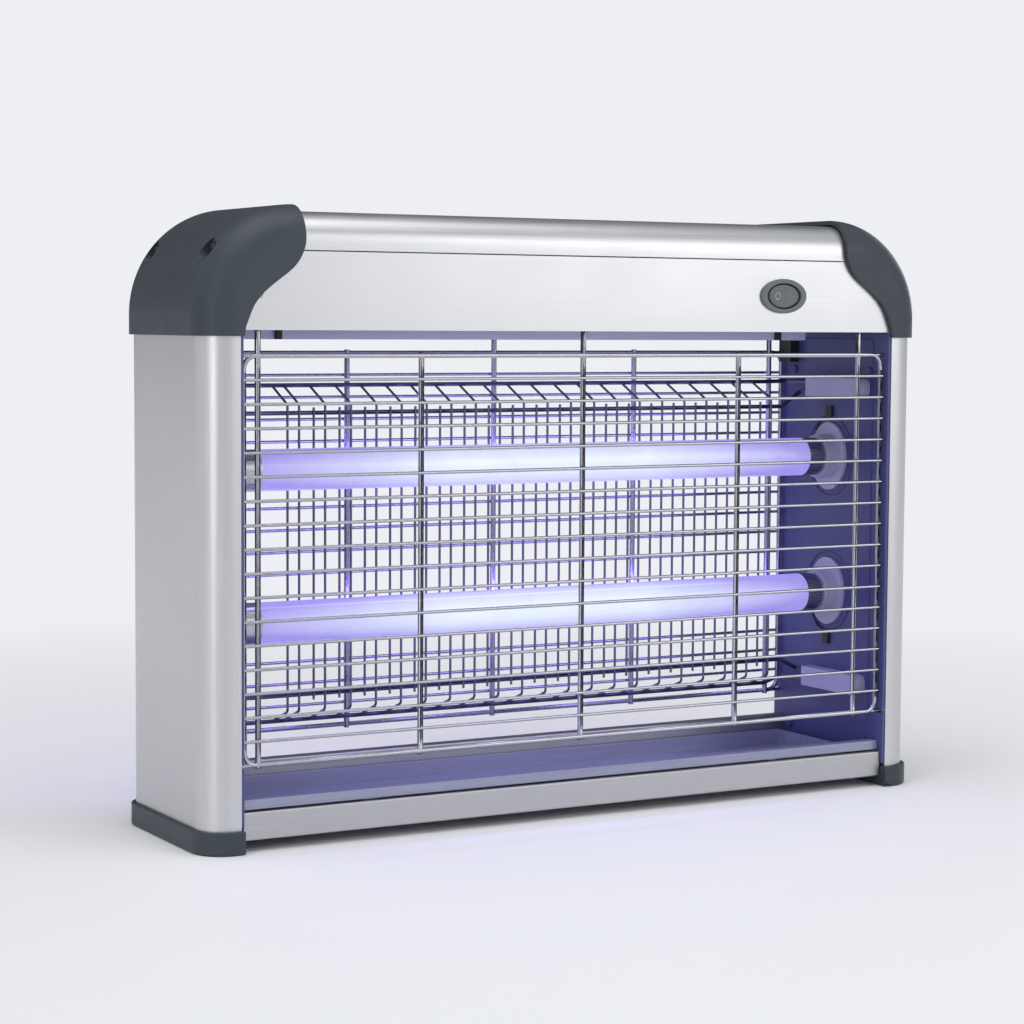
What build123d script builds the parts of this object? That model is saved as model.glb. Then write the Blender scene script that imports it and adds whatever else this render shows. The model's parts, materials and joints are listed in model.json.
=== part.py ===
from build123d import *
import os

os.makedirs("parts", exist_ok=True)

# Frame: X along the width, Y front to back, Z up, origin on the floor under the middle.

# Overall sizes
WIDTH = 521.0            # over the two side posts
DEPTH = 128.0            # of a side post, front to back
HEIGHT = 384.0           # floor to the top of the corner caps
OVERHANG = 3.0           # of caps and feet beyond the posts
HALF = WIDTH / 2
HALF_D = DEPTH / 2

# Side posts
POST_W = 22.5
POST_R = 18.0
POST_WALL = 1.6
POST_BASE_Z = 4.2
POST_TOP_Z = HEIGHT - 68.0
PORT_Y = 35.0            # screw ports in the extrusion
PORT_D = 7.4
M4 = 4.0
M4_HOLE = 4.1
M3 = 3.0
M3_HOLE = 3.1

# Feet
FOOT_H = 14.0
FOOT_FLOOR = 4.0
FOOT_INNER_OVERHANG = 1.5
FIT = 0.15               # slip fit between fixed plastic and metal pieces
RUN = 0.05               # radial clearance of pieces that turn

# Corner caps
CAP_BOTTOM_Z = HEIGHT - 78.0
CAP_ARC_R = 66.0
CAP_ARC_Z = HEIGHT - CAP_ARC_R
CAP_SKIN = 3.0
CAP_EDGE_R = 21.0
CAP_SCREW_Y = 44.0
CAP_SCREW_Z = HEIGHT - 27.5
RECESS_D = 15.0
RECESS_FLOOR_X = HALF - 15.5

# Head panels and cover
PANEL_FACE_Y = 63.7
PANEL_T = 1.5
PANEL_BOTTOM_Z = HEIGHT - 74.5
SEAM_Z = HEIGHT - 28.0
COVER_TOP_Z = HEIGHT - 4.0
COVER_R = 18.0
COVER_HALF_X = HALF - 54.5
SEAM_GAP = 0.6

# Side liners
LINER_T = 2.0
LINER_X = HALF - POST_W - LINER_T          # inner face
LINER_HALF_Y = 63.3
LINER_BOTTOM_Z = 16.0
LINER_TOP_Z = HEIGHT - 75.0

# Bottom rails
RAIL_HALF_X = LINER_X - 0.3
RAIL_FACE_Y = 61.0
RAIL_D = 10.0
RAIL_BOTTOM_Z = 7.0
RAIL_TOP_Z = 24.0
REAR_RAIL_TOP_Z = 34.0

# Catch tray
TRAY_HALF_X = LINER_X - 7.0
TRAY_REAR_Y = 49.0
TRAY_FLOOR_Z = 14.0
TRAY_RIM_Z = 24.4
TRAY_T = 1.2
TRAY_RAMP_Y = 2.0        # where the flat floor ends and the ramp to the lip begins
TRAY_LIP_BACK_Y = -50.5
TRAY_LIP_Y = -58.0
TRAY_LIP_Z = 31.0

# Wire guards
GUARD_Y = 57.6
GUARD_WIRE_Y = 59.6      # cross wires, in front of the frame
GUARD_WIRE_HALF_X = LINER_X - 1.1
GUARD_HALF_X = LINER_X - 2.3
GUARD_TOP_Z = HEIGHT - 89.6
GUARD_PITCH = 14.28
GUARD_COUNT = 18
GUARD_FRAME_R = 1.5
GUARD_WIRE_R = 1.0
GUARD_BAR_R = 1.8
GUARD_BAR_Y = 57.0
GUARD_NUB = 2.2          # how far a bar's end stands past the frame
GUARD_CORNER = 8.0
FRONT_LONG_BARS = (9.2 - GUARD_HALF_X, -1.0, GUARD_HALF_X - 18.7)
FRONT_SHORT_BARS = (-116.0, 117.7)
REAR_LONG_BARS = (10.9 - GUARD_HALF_X, 1.9, GUARD_HALF_X - 14.7)    # before the rear guard is turned round
REAR_SHORT_BARS = (-108.9, 111.1)
GUARD_LEG_Z = HEIGHT - 73.0
GUARD_PIN_R = 1.2
GUARD_PIN_X = LINER_X + 1.6

# Lamps: T8 tubes of 15 W
LAMP_X = 4.0
LAMP_LENGTH = 2 * LINER_X - 35.0
LAMP_R = 13.0
LAMP_CAP_L = 13.0
LAMP_UPPER_Z = 223.2
LAMP_LOWER_Z = 128.7
LAMP_PIN_R = 1.2
LAMP_PIN_L = 7.1
LAMP_PIN_PITCH = 12.7
LAMP_GLASS_T = 0.9

# Lampholders
HOLDER_W = 38.0
HOLDER_H = 47.0
HOLDER_BASE_T = 2.5
HOLDER_D = 30.0
HOLDER_TAIL_D = 23.0
HOLDER_TAIL_X = HALF - 10.5
ROTOR_R = 11.0
ROTOR_T = 8.0

# High-voltage grid
GRID_Y = 22.0            # plane of the long wires
GRID_FIRST_X = -161.3
GRID_PITCH = 18.08
GRID_COUNT = 21
GRID_EXTRA_X = -169.3
GRID_WIRE_R = 0.8
GRID_BEND_LOW_Z = 68.5
GRID_BEND_HIGH_Z = 262.5
GRID_REAR_Y = 46.0
GRID_LOW_Z = 59.0
GRID_HIGH_Z = 274.0
SHORT_Y = 26.5
SHORT_SHIFT_X = 12.2
SHORT_LOW_Z = 74.5
SHORT_HIGH_Z = 260.5
SHORT_RAIL_Y = 28.4
SHORT_RAIL_LOW_Z = 78.0
SHORT_RAIL_HIGH_Z = 257.0
CARRIER_R = 1.4
CARRIER_TURN_X = LINER_X - 22.0   # where a carrier leaves its row of wires for the blocks
GRID_BEND_L = 3.5        # straight run kept beyond each bend of a long wire

# Insulator blocks
BLOCK_REAR_Y = 17.0
BLOCK_FRONT_Y = -44.0
BLOCK_W = 10.0
BLOCK_H = 13.5
BLOCK_UPPER_Z = 264.5
BLOCK_LOWER_Z = 60.5
LEG_X = LINER_X - 5.2

# Rocker switch in the front panel
SWITCH_X = 147.8
SWITCH_Z = HEIGHT - 51.0
BEZEL_W = 36.0
BEZEL_H = 22.6
BEZEL_PROUD = 1.8
ROCKER_W = 25.4
ROCKER_H = 15.5
ROCKER_TILT = 6.0
ROCKER_PIVOT_Y = -62.0
ROCKER_FRONT_Y = -65.4
ROCKER_BACK_Y = -58.0
TRUNNION_R = 1.0
SWITCH_BODY_W = 32.0
SWITCH_BODY_H = 20.0
SWITCH_BACK_Y = -46.0

# Gear channel in the head
CHANNEL_HALF_X = LINER_X - 24.5
CHANNEL_FRONT_Y = -2.0
CHANNEL_REAR_Y = 42.0
CHANNEL_BOTTOM_Z = HEIGHT - 80.4
CHANNEL_WALL_Z = HEIGHT - 59.0
CHANNEL_T = 1.2
CLIP_X = CHANNEL_HALF_X - 24.5           # black clips on the channel's front wall
TAB_Z = HEIGHT - 65.0

# Screw places
LINER_SCREWS = ((-43, 29), (43, 29), (-43, HEIGHT - 101), (43, HEIGHT - 101))
RAIL_SCREW_Y = 56.0
RAIL_SCREW_Z = 20.0
PANEL_SCREW_Z = HEIGHT - 53.0
COVER_SCREW_X = COVER_HALF_X - 56.0
COVER_SCREW_Y = 58.0
TAB_SCREW_X = LINER_X - 8.0
TAB_SCREW_Y = 18.0

POST_IN = HALF - POST_W
PORT_X = HALF - 7.0
BRACKET_X = POST_IN + POST_WALL + 0.2
PANEL_SCREW_X = BRACKET_X - 13
CAP_CENTRE_X = HALF + OVERHANG - CAP_ARC_R
LAMPS = (LAMP_UPPER_Z, LAMP_LOWER_Z)
XZ = Plane(origin=(0, 0, 0), x_dir=(1, 0, 0), z_dir=(0, -1, 0))
YZ = Plane(origin=(0, 0, 0), x_dir=(0, 1, 0), z_dir=(1, 0, 0))


def save(part, name):
    part.label = name
    export_step(part, f"parts/{name}.step")


def save_pair(part, name):
    """Write the right-hand piece and its mirror image on the left."""
    save(part, f"right_{name}")
    save(part.mirror(Plane.YZ), f"left_{name}")


def rod_along(points, radius, bend):
    """A round wire that follows the points, with bent corners."""
    with BuildPart() as rod:
        with BuildLine() as path:
            FilletPolyline(*points, radius=bend)
        with BuildSketch(Plane(origin=path.line @ 0, z_dir=path.line % 0)):
            Circle(radius)
        sweep(path=path.line)
    return rod.part


def post_outline(grow, inner_grow):
    """Plan of the right-hand post, grown outwards and on its inner side."""
    with BuildSketch() as plan:
        with Locations(((POST_IN - inner_grow + HALF + grow) / 2, 0)):
            Rectangle(POST_W + grow + inner_grow, DEPTH + 2 * grow)
        outer = plan.vertices().group_by(Axis.X)[-1]
        fillet(outer, POST_R + grow)
    return plan.sketch


# Side post: hollow extrusion with screw ports and cut-outs for the lampholders
with BuildPart() as post:
    with BuildSketch(Plane.XY.offset(POST_BASE_Z)):
        add(post_outline(0, 0))
        offset(amount=-POST_WALL, kind=Kind.ARC, mode=Mode.SUBTRACT)
        with Locations((PORT_X, PORT_Y), (PORT_X, -PORT_Y)):
            Circle(PORT_D / 2)
        with Locations((HALF - 2.6, PORT_Y), (HALF - 2.6, -PORT_Y)):
            Rectangle(4.0, POST_WALL)
        with Locations((PORT_X, PORT_Y), (PORT_X, -PORT_Y)):
            Circle(M4_HOLE / 2, mode=Mode.SUBTRACT)
    extrude(amount=POST_TOP_Z - POST_BASE_Z)
    with BuildSketch(YZ.offset(POST_IN - 1)):
        with Locations(*[(0, z) for z in LAMPS]):
            Circle(HOLDER_TAIL_D / 2 + 0.5)
        with Locations(*LINER_SCREWS):
            Circle(M3_HOLE / 2)
        with Locations((-RAIL_SCREW_Y, RAIL_SCREW_Z), (RAIL_SCREW_Y, RAIL_SCREW_Z)):
            Circle(3.4)
    extrude(amount=POST_WALL + 2, mode=Mode.SUBTRACT)
save_pair(post.part, "side_post")

# Foot: cup under the post
with BuildPart() as foot:
    with BuildSketch():
        add(post_outline(OVERHANG, FOOT_INNER_OVERHANG))
    extrude(amount=FOOT_H)
    fillet(foot.faces().sort_by(Axis.Z)[0].edges(), 1.5)
    with BuildSketch(Plane.XY.offset(FOOT_FLOOR)):
        add(post_outline(FIT, FIT))
    extrude(amount=FOOT_H, mode=Mode.SUBTRACT)
    with Locations((PORT_X, PORT_Y, 0), (PORT_X, -PORT_Y, 0)):
        Cylinder(4.6, 2.6, align=(Align.CENTER, Align.CENTER, Align.MIN), mode=Mode.SUBTRACT)
        Cylinder(M4_HOLE / 2, 10, align=(Align.CENTER, Align.CENTER, Align.MIN), mode=Mode.SUBTRACT)
save_pair(foot.part, "foot")

# Corner cap: moulded shell with an S-shaped inner edge and screw bosses
CAP_EDGE_X = HALF - 63.0     # where the S-shaped edge meets the top
CAP_OPEN_X = CAP_EDGE_X - 20
with BuildPart() as cap_form:
    with BuildSketch(XZ.offset(-HALF_D - OVERHANG)):
        with BuildLine():
            side = Line((HALF + OVERHANG, CAP_BOTTOM_Z), (HALF + OVERHANG, CAP_ARC_Z))
            arc = CenterArc((CAP_CENTRE_X, CAP_ARC_Z), CAP_ARC_R, 0, 90)
            top = Line(arc @ 1, (CAP_OPEN_X, HEIGHT))
            end = Line(top @ 1, (CAP_OPEN_X, CAP_BOTTOM_Z))
            Line(end @ 1, side @ 0)
        make_face()
    extrude(amount=DEPTH + 2 * OVERHANG)
    rims = [e for e in cap_form.edges() if abs(abs(e.center().Y) - HALF_D - OVERHANG) < 0.01]
    fillet([e for e in rims if e.center().Z > HEIGHT - 1 or e.center().X > HALF
            or e.geom_type == GeomType.CIRCLE], CAP_EDGE_R)
with BuildPart() as cap_bosses:
    with Locations(Location((RECESS_FLOOR_X - 3.0, CAP_SCREW_Y, CAP_SCREW_Z), (0, 90, 0)),
                   Location((RECESS_FLOOR_X - 3.0, -CAP_SCREW_Y, CAP_SCREW_Z), (0, 90, 0))):
        Cylinder(RECESS_D / 2 + 1.6, 24, align=(Align.CENTER, Align.CENTER, Align.MIN))
    add(cap_form.part, mode=Mode.INTERSECT)
with BuildPart() as cap:
    add(cap_form.part)
    openings = [cap.faces().sort_by(Axis.Z)[0], cap.faces().sort_by(Axis.X)[0]]
    offset(amount=FIT - CAP_SKIN, openings=openings)
    with BuildSketch(XZ.offset(-HALF_D - OVERHANG - 1)):
        with BuildLine():
            drop = Line((CAP_EDGE_X, HEIGHT + 5), (CAP_EDGE_X, HEIGHT - 20))
            curve = Spline(drop @ 1, (HALF - 61.3, HEIGHT - 28.5), (HALF - 56.5, HEIGHT - 36.2),
                           (HALF - 47.5, HEIGHT - 43.6), (HALF - 36.2, HEIGHT - 52.4),
                           (HALF - 28.9, HEIGHT - 61.8), (HALF - 25.3, HEIGHT - 70.4),
                           (HALF - 23.6, CAP_BOTTOM_Z - 1), tangents=((0, -1), (0.12, -1)))
            Polyline(curve @ 1, (CAP_OPEN_X - 5, CAP_BOTTOM_Z - 1), (CAP_OPEN_X - 5, HEIGHT + 5), drop @ 0)
        make_face()
    extrude(amount=DEPTH + 2 * OVERHANG + 2, mode=Mode.SUBTRACT)
    add(cap_bosses.part)
    with Locations(Location((RECESS_FLOOR_X, CAP_SCREW_Y, CAP_SCREW_Z), (0, 90, 0)),
                   Location((RECESS_FLOOR_X, -CAP_SCREW_Y, CAP_SCREW_Z), (0, 90, 0))):
        Cylinder(RECESS_D / 2, 24, align=(Align.CENTER, Align.CENTER, Align.MIN), mode=Mode.SUBTRACT)
        Cylinder(M4_HOLE / 2, 12, mode=Mode.SUBTRACT)
save_pair(cap.part, "corner_cap")

# End bracket that ties post, panels, gear channel and cap together
with BuildPart() as bracket:
    with BuildSketch(YZ.offset(BRACKET_X)):
        with Locations((0, HEIGHT - 83)):
            Rectangle(90, 32)
        with Locations((0, HEIGHT - 53)):
            Rectangle(123.8, 28.6)
        with Locations((0, HEIGHT - 34)):
            Rectangle(103, 23)
        with Locations((CAP_SCREW_Y, CAP_SCREW_Z), (-CAP_SCREW_Y, CAP_SCREW_Z)):
            Circle(M4_HOLE / 2, mode=Mode.SUBTRACT)
    extrude(amount=2)
    for s in (-1, 1):
        with Locations((BRACKET_X - 9, s * (PANEL_FACE_Y - PANEL_T - 0.85), PANEL_SCREW_Z)):
            Box(22, 1.5, 28)
        with Locations(Location((PANEL_SCREW_X, s * PANEL_FACE_Y, PANEL_SCREW_Z), (90, 0, 0))):
            Cylinder(M3_HOLE / 2, 8, mode=Mode.SUBTRACT)
    with Locations((BRACKET_X - 9, TAB_SCREW_Y, TAB_Z - 1.3)):
        Box(22, 30, 2)
    with Locations((TAB_SCREW_X, TAB_SCREW_Y, TAB_Z)):
        Cylinder(M3_HOLE / 2, 8, mode=Mode.SUBTRACT)
save_pair(bracket.part, "end_bracket")

# Head panels, front and rear
PANEL_HALF_X = POST_IN - 0.3
PANEL_CORNER = 19.5


def panel_body(side):
    """Flat panel with cut upper corners and a flange under the cover; side is -1 front, 1 rear."""
    with BuildPart() as panel:
        with BuildSketch(XZ.offset(-side * (PANEL_FACE_Y - PANEL_T / 2))):
            with BuildLine():
                Polyline((-PANEL_HALF_X, PANEL_BOTTOM_Z), (PANEL_HALF_X, PANEL_BOTTOM_Z),
                         (PANEL_HALF_X, SEAM_Z - PANEL_CORNER), (PANEL_HALF_X - PANEL_CORNER, SEAM_Z),
                         (-PANEL_HALF_X + PANEL_CORNER, SEAM_Z), (-PANEL_HALF_X, SEAM_Z - PANEL_CORNER),
                         close=True)
            make_face()
        extrude(amount=PANEL_T / 2, both=True)
        with Locations((0, side * (PANEL_FACE_Y - 5), SEAM_Z - 0.8)):
            Box(2 * (COVER_HALF_X - 8), 8, 1.5)
        for s in (-1, 1):
            with Locations(Location((s * PANEL_SCREW_X, side * PANEL_FACE_Y, PANEL_SCREW_Z), (90, 0, 0))):
                Cylinder(M3_HOLE / 2, 10, mode=Mode.SUBTRACT)
                Cylinder(3.1, 2.0, mode=Mode.SUBTRACT)
            with Locations((s * COVER_SCREW_X, side * COVER_SCREW_Y, SEAM_Z)):
                Cylinder(M3_HOLE / 2, 10, mode=Mode.SUBTRACT)
    return panel.part


with BuildPart() as front_panel:
    add(panel_body(-1))
    with BuildSketch(XZ.offset(PANEL_FACE_Y + 1)):
        with Locations((SWITCH_X, SWITCH_Z)):
            Ellipse(SWITCH_BODY_W / 2 + 0.2, SWITCH_BODY_H / 2 + 0.2)
    extrude(amount=-4, mode=Mode.SUBTRACT)
save(front_panel.part, "front_panel")

# Cable gland position in the rear panel
GLAND_X = -150.0
GLAND_Z = HEIGHT - 51.0
GLAND_THREAD_R = 7.9
GLAND_BORE_R = 3.6
with BuildPart() as rear_panel:
    add(panel_body(1))
    with Locations(Location((GLAND_X, PANEL_FACE_Y, GLAND_Z), (90, 0, 0))):
        Cylinder(GLAND_THREAD_R + 0.1, 6, mode=Mode.SUBTRACT)
save(rear_panel.part, "rear_panel")

# Top cover: rounded aluminium ridge that closes the head
COVER_LOW_Z = SEAM_Z + SEAM_GAP
with BuildPart() as top_cover:
    with BuildSketch(YZ.offset(-COVER_HALF_X)) as section:
        with Locations((0, (COVER_LOW_Z + COVER_TOP_Z) / 2)):
            Rectangle(2 * PANEL_FACE_Y, COVER_TOP_Z - COVER_LOW_Z)
        fillet(section.vertices().group_by(Axis.Y)[-1], COVER_R)
        offset(amount=-PANEL_T, mode=Mode.SUBTRACT)
        with Locations((0, COVER_LOW_Z)):
            Rectangle(2 * (COVER_SCREW_Y - 4), 4, mode=Mode.SUBTRACT)
    extrude(amount=2 * COVER_HALF_X)
    for x in (-COVER_SCREW_X, COVER_SCREW_X):
        for y in (-COVER_SCREW_Y, COVER_SCREW_Y):
            with Locations((x, y, COVER_LOW_Z)):
                Cylinder(M3_HOLE / 2, 6, mode=Mode.SUBTRACT)
save(top_cover.part, "top_cover")

# Side liner: plastic plate on the inner face of the post
PIN_TOP_Z = GUARD_TOP_Z
PIN_LOW_Z = GUARD_TOP_Z - GUARD_PITCH * (GUARD_COUNT - 1)
with BuildPart() as liner:
    with BuildSketch(YZ.offset(LINER_X)):
        with Locations((0, (LINER_BOTTOM_Z + LINER_TOP_Z) / 2)):
            Rectangle(2 * LINER_HALF_Y, LINER_TOP_Z - LINER_BOTTOM_Z)
        with Locations(*[(0, z) for z in LAMPS]):
            Circle(HOLDER_TAIL_D / 2 + 0.2, mode=Mode.SUBTRACT)
        with Locations((-GUARD_Y, PIN_TOP_Z), (GUARD_Y, PIN_TOP_Z)):
            Circle(GUARD_PIN_R + RUN, mode=Mode.SUBTRACT)
        with Locations((-LINER_HALF_Y, PIN_LOW_Z), (LINER_HALF_Y, PIN_LOW_Z)):
            SlotOverall(2 * (LINER_HALF_Y - GUARD_Y + GUARD_PIN_R + 0.1), 2 * (GUARD_PIN_R + 0.1),
                        mode=Mode.SUBTRACT)
        with Locations(*LINER_SCREWS):
            Circle(M3_HOLE / 2, mode=Mode.SUBTRACT)
        with Locations((-RAIL_SCREW_Y, RAIL_SCREW_Z), (RAIL_SCREW_Y, RAIL_SCREW_Z)):
            Circle(M4_HOLE / 2, mode=Mode.SUBTRACT)
        with Locations((32, 173.5)):
            Rectangle(5, 9, mode=Mode.SUBTRACT)
    extrude(amount=LINER_T - 0.05)
save_pair(liner.part, "side_liner")


def rail(side, top_z):
    """Hollow bottom rail with screw ports; side is -1 front, 1 rear."""
    middle = side * (RAIL_FACE_Y - RAIL_D / 2)
    with BuildPart() as bar:
        with BuildSketch(YZ.offset(-RAIL_HALF_X)) as section:
            with Locations((middle, (RAIL_BOTTOM_Z + top_z) / 2)):
                Rectangle(RAIL_D, top_z - RAIL_BOTTOM_Z)
            fillet(section.vertices(), 1.2)
            offset(amount=-1.5, mode=Mode.SUBTRACT)
            with Locations((middle, RAIL_SCREW_Z)):
                Circle(3.6)
                Circle(M4_HOLE / 2, mode=Mode.SUBTRACT)
            if side > 0:
                with Locations((RAIL_FACE_Y - RAIL_D - 4, TRAY_FLOOR_Z - TRAY_T - 0.9)):
                    Rectangle(9, 1.2)
        extrude(amount=2 * RAIL_HALF_X)
    return bar.part


save(rail(-1, RAIL_TOP_Z), "front_rail")
save(rail(1, REAR_RAIL_TOP_Z), "rear_rail")

# Catch tray: folded sheet, its front half ramps up to the lip
TRAY_BASE_Z = TRAY_FLOOR_Z - TRAY_T
RAMP_RISE = TRAY_RIM_Z + 1.0 - TRAY_FLOOR_Z
with BuildPart() as catch_tray:
    with BuildSketch(YZ.offset(-TRAY_HALF_X)):
        with BuildLine():
            Polyline((TRAY_REAR_Y, TRAY_RIM_Z), (TRAY_REAR_Y, TRAY_BASE_Z), (TRAY_RAMP_Y, TRAY_BASE_Z),
                     (TRAY_LIP_BACK_Y, TRAY_BASE_Z + RAMP_RISE), (TRAY_LIP_BACK_Y, TRAY_LIP_Z),
                     (TRAY_LIP_BACK_Y + TRAY_T, TRAY_LIP_Z),
                     (TRAY_LIP_BACK_Y + TRAY_T, TRAY_FLOOR_Z + RAMP_RISE), (TRAY_RAMP_Y, TRAY_FLOOR_Z),
                     (TRAY_REAR_Y - TRAY_T, TRAY_FLOOR_Z), (TRAY_REAR_Y - TRAY_T, TRAY_RIM_Z), close=True)
        make_face()
    extrude(amount=2 * TRAY_HALF_X)
    for x in (-TRAY_HALF_X, TRAY_HALF_X - TRAY_T):
        with BuildSketch(YZ.offset(x)):
            with BuildLine():
                Polyline((TRAY_REAR_Y, TRAY_RIM_Z), (TRAY_REAR_Y, TRAY_BASE_Z), (TRAY_RAMP_Y, TRAY_BASE_Z),
                         (TRAY_LIP_BACK_Y, TRAY_BASE_Z + RAMP_RISE), (TRAY_LIP_BACK_Y, TRAY_LIP_Z),
                         (TRAY_LIP_BACK_Y + 10, TRAY_RIM_Z + 2), (TRAY_LIP_BACK_Y + 26, TRAY_RIM_Z),
                         close=True)
            make_face()
        extrude(amount=TRAY_T)
    with Locations((0, (TRAY_LIP_Y + TRAY_LIP_BACK_Y + TRAY_T) / 2, TRAY_LIP_Z - TRAY_T / 2)):
        Box(2 * RAIL_HALF_X, TRAY_LIP_BACK_Y + TRAY_T - TRAY_LIP_Y, TRAY_T)
    with Locations((0, TRAY_LIP_Y + TRAY_T / 2, TRAY_LIP_Z - 3)):
        Box(2 * RAIL_HALF_X, TRAY_T, 6)
    for x in (-150, 150):
        with Locations((x, TRAY_LIP_Y + 3.5, RAIL_TOP_Z + 0.3)):
            Box(8, 4, TRAY_LIP_Z - RAIL_TOP_Z - 1, align=(Align.CENTER, Align.CENTER, Align.MIN))
save(catch_tray.part, "catch_tray")


def wire_guard(long_bars, short_bars):
    """Front guard: bent frame with two pins a side, cross wires before it, upright bars behind the wires."""
    with BuildSketch(XZ.offset(GUARD_Y)) as loop:
        with Locations((0, (GUARD_TOP_Z + PIN_LOW_Z) / 2)):
            RectangleRounded(2 * GUARD_HALF_X, GUARD_TOP_Z - PIN_LOW_Z, GUARD_CORNER)
    path = loop.sketch.wires()[0]
    with BuildPart() as guard:
        with BuildSketch(Plane(origin=path @ 0, z_dir=path % 0)):
            Circle(GUARD_FRAME_R)
        sweep(path=path)
        with BuildSketch(YZ.offset(-GUARD_WIRE_HALF_X)):
            with Locations(*[(-GUARD_WIRE_Y, PIN_LOW_Z + GUARD_PITCH * i)
                             for i in range(1, GUARD_COUNT - 1)]):
                Circle(GUARD_WIRE_R)
        extrude(amount=2 * GUARD_WIRE_HALF_X)
        for bars, top_z in ((long_bars, GUARD_LEG_Z), (short_bars, GUARD_TOP_Z + GUARD_NUB)):
            with BuildSketch(Plane.XY.offset(PIN_LOW_Z - GUARD_NUB)):
                with Locations(*[(x, -GUARD_BAR_Y) for x in bars]):
                    Circle(GUARD_BAR_R)
            extrude(amount=top_z - PIN_LOW_Z + GUARD_NUB)
        for s in (-1, 1):
            with Locations(*[Location((s * (GUARD_HALF_X - GUARD_CORNER), -GUARD_Y, z), (0, s * 90, 0))
                             for z in (PIN_LOW_Z, GUARD_TOP_Z)]):
                Cylinder(GUARD_PIN_R, GUARD_PIN_X - GUARD_HALF_X + GUARD_CORNER,
                         align=(Align.CENTER, Align.CENTER, Align.MIN))
    return guard.part


save(wire_guard(FRONT_LONG_BARS, FRONT_SHORT_BARS), "front_guard")
save(wire_guard(REAR_LONG_BARS, REAR_SHORT_BARS).rotate(Axis.Z, 180), "rear_guard")

# Lamps: glass tube, metal end caps with contact pins
for name, lamp_z in (("upper", LAMP_UPPER_Z), ("lower", LAMP_LOWER_Z)):
    glass_half = LAMP_LENGTH / 2 - LAMP_CAP_L
    with BuildPart() as glass:
        with Locations(Location((LAMP_X, 0, lamp_z), (0, 90, 0))):
            Cylinder(LAMP_R, 2 * glass_half)
            Cylinder(LAMP_R - 0.8, 2 * glass_half + 10)
            Cylinder(LAMP_R - 0.8 - LAMP_GLASS_T, 2 * glass_half + 8, mode=Mode.SUBTRACT)
    save(glass.part, f"{name}_lamp_tube")
    with BuildPart() as end_caps:
        for s in (-1, 1):
            with Locations(Location((LAMP_X + s * glass_half, 0, lamp_z), (0, s * 90, 0))):
                Cylinder(LAMP_R, LAMP_CAP_L, align=(Align.CENTER, Align.CENTER, Align.MIN))
                Cylinder(LAMP_R - 0.75, 2 * (LAMP_CAP_L - 2.3), mode=Mode.SUBTRACT)
            with Locations(*[Location((LAMP_X + s * (LAMP_LENGTH / 2 - 1), 0, lamp_z + dz), (0, s * 90, 0))
                             for dz in (-LAMP_PIN_PITCH / 2, LAMP_PIN_PITCH / 2)]):
                Cylinder(LAMP_PIN_R, LAMP_PIN_L + 1, align=(Align.CENTER, Align.CENTER, Align.MIN))
    save(end_caps.part, f"{name}_lamp_caps")


def holder(front_x, lamp_z):
    """Lampholder on the right: oval base, round body, tail through the liner."""
    with BuildPart() as body:
        with Locations(Location((LINER_X - 0.05, 0, lamp_z), (0, -90, 0))):
            Cylinder(HOLDER_D / 2, LINER_X - 0.05 - front_x, align=(Align.CENTER, Align.CENTER, Align.MIN))
        with BuildSketch(YZ.offset(LINER_X - HOLDER_BASE_T)):
            with Locations((0, lamp_z)):
                Ellipse(HOLDER_W / 2, HOLDER_H / 2)
        extrude(amount=HOLDER_BASE_T - 0.05)
        with Locations(Location((LINER_X - 0.1, 0, lamp_z), (0, 90, 0))):
            Cylinder(HOLDER_TAIL_D / 2, HOLDER_TAIL_X - LINER_X,
                     align=(Align.CENTER, Align.CENTER, Align.MIN))
        with Locations(Location((front_x, 0, lamp_z), (0, 90, 0))):
            Cylinder(ROTOR_R + RUN, 2 * (ROTOR_T + 0.2), mode=Mode.SUBTRACT)
    return body.part


def rotor(front_x, lamp_z):
    """Turning contact disc of a lampholder on the right, with pin holes and a slot."""
    with BuildPart() as disc:
        with Locations(Location((front_x, 0, lamp_z), (0, 90, 0))):
            Cylinder(ROTOR_R, ROTOR_T, align=(Align.CENTER, Align.CENTER, Align.MIN))
        with Locations((front_x, 0, lamp_z)):
            Box(2.0, 2 * (LAMP_PIN_R + RUN), 2 * ROTOR_R + 2, mode=Mode.SUBTRACT)
        with Locations(*[Location((front_x, 0, lamp_z + dz), (0, 90, 0))
                         for dz in (-LAMP_PIN_PITCH / 2, LAMP_PIN_PITCH / 2)]):
            Cylinder(LAMP_PIN_R + RUN, 40, mode=Mode.SUBTRACT)
    return disc.part


RIGHT_FACE = LAMP_X + LAMP_LENGTH / 2 + 0.5
LEFT_FACE = -LAMP_X + LAMP_LENGTH / 2 + 0.5
for name, lamp_z in (("upper", LAMP_UPPER_Z), ("lower", LAMP_LOWER_Z)):
    save(holder(RIGHT_FACE, lamp_z), f"{name}_right_lampholder")
    save(holder(LEFT_FACE, lamp_z).mirror(Plane.YZ), f"{name}_left_lampholder")
    with BuildPart() as rotors:
        add(rotor(RIGHT_FACE, lamp_z))
        add(rotor(LEFT_FACE, lamp_z).mirror(Plane.YZ))
    save(rotors.part, f"{name}_lamp_rotors")

# High-voltage grid: long wires with bent ends, and the short set behind them
LEG_END_Y = BLOCK_REAR_Y - 7
LEG_DZ = 3.2
BLOCK_LOW_MID_Z = BLOCK_LOWER_Z + BLOCK_H / 2
BLOCK_HIGH_MID_Z = BLOCK_UPPER_Z + BLOCK_H / 2
GRID_XS = [GRID_EXTRA_X] + [GRID_FIRST_X + GRID_PITCH * i for i in range(GRID_COUNT)]


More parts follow.
